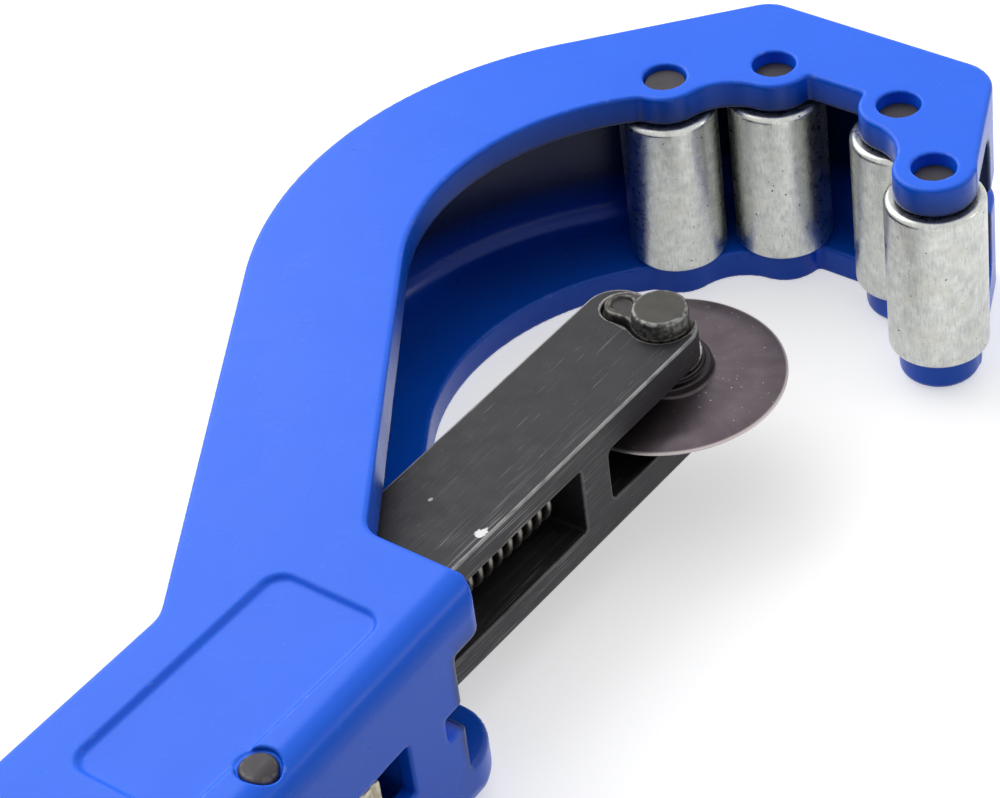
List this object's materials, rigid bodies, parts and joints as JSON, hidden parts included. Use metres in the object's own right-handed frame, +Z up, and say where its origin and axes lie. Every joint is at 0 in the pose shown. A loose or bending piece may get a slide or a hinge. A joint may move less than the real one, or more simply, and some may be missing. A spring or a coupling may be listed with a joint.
{
  "type": "plastic pipe cutter",
  "caption": "Hand-held cutter for plastic pipe: a C-shaped cast frame with guide rollers, a screw-fed slide with a cutting wheel, and a quick-release lever.",
  "frame": {"origin": "middle of the part's box, on the plane that it rests on", "axes": "+X forward along the slide, from the knob to the rollers; +Y to the closed side of the jaw; +Z up, square to the plane of the jaw"},
  "size_m": [0.2642, 0.0837, 0.035],
  "materials": {
    "painted_casting": "gloss",
    "zinc_plate": "mottled zinc plate",
    "dark_pin": "dark oxide",
    "blackened_steel": "blackened, with drawn scratches",
    "wheel_steel": "satin, brown tempered",
    "plain_steel": "satin",
    "pin_steel": "satin, with a worn rim",
    "clip_steel": "blackened",
    "spring_steel": "oiled",
    "screw_steel": "satin",
    "bronze": "satin",
    "black_plastic": "fine grain",
    "cap_plastic": "fine grain",
    "bare_lever": "bare, worn"
  },
  "bodies": {
    "casting": {"frame": "painted_casting", "roller_pin_1": "dark_pin", "roller_pin_2": "dark_pin", "roller_pin_3": "dark_pin", "roller_pin_4": "dark_pin", "screw_bush": "bronze", "lever_pin": "dark_pin", "lever_spring": "spring_steel"},
    "roller_1": {"roller_1": "zinc_plate"},
    "roller_2": {"roller_2": "zinc_plate"},
    "roller_3": {"roller_3": "zinc_plate"},
    "roller_4": {"roller_4": "zinc_plate"},
    "slide": {"slide": "blackened_steel", "wheel_pin": "pin_steel", "pin_clip": "clip_steel", "wheel_washers": "plain_steel", "feed_spring": "spring_steel"},
    "wheel": {"cutter_wheel": "wheel_steel"},
    "screw": {"feed_screw": "screw_steel", "spring_seat": "plain_steel", "screw_ring": "plain_steel", "knob": "black_plastic", "knob_pin": "plain_steel", "knob_cap": "cap_plastic"},
    "lever": {"release_lever": "bare_lever", "half_nut": "bronze"}
  },
  "joints": [
    {"name": "roller_1_spin", "type": "hinge", "parent": "casting", "child": "roller_1", "pos_m": [0.1087, 0.00981, 0.0175], "axis": [0, 0, 1], "continuous": true},
    {"name": "roller_2_spin", "type": "hinge", "parent": "casting", "child": "roller_2", "pos_m": [0.1188, -0.00209, 0.0175], "axis": [0, 0, 1], "continuous": true},
    {"name": "roller_3_spin", "type": "hinge", "parent": "casting", "child": "roller_3", "pos_m": [0.1188, -0.02289, 0.0175], "axis": [0, 0, 1], "continuous": true},
    {"name": "roller_4_spin", "type": "hinge", "parent": "casting", "child": "roller_4", "pos_m": [0.1087, -0.03479, 0.0175], "axis": [0, 0, 1], "continuous": true},
    {"name": "slide_feed", "type": "slide", "parent": "casting", "child": "slide", "axis": [1, 0, 0], "range_m": [-0.0432, 0.0233]},
    {"name": "knob_turn", "type": "hinge", "parent": "slide", "child": "screw", "pos_m": [-0.118, -0.01249, 0.0175], "axis": [1, 0, 0], "range_deg": [-7770, 4190]},
    {"name": "wheel_spin", "type": "hinge", "parent": "slide", "child": "wheel", "pos_m": [0.0709, -0.01539, 0.0175], "axis": [0, 0, 1], "continuous": true},
    {"name": "lever_press", "type": "hinge", "parent": "casting", "child": "lever", "pos_m": [-0.0259, -0.02799, 0.0175], "axis": [0, 0, 1], "range_deg": [0, 6], "stiffness_Nm_per_rad": 0.6, "springref_deg": -8.59, "deforming": ["lever_spring"]}
  ],
  "couplings": [
    {"joint": "slide_feed", "follows": "knob_turn", "m_per_rad": 0.00031831}
  ]
}
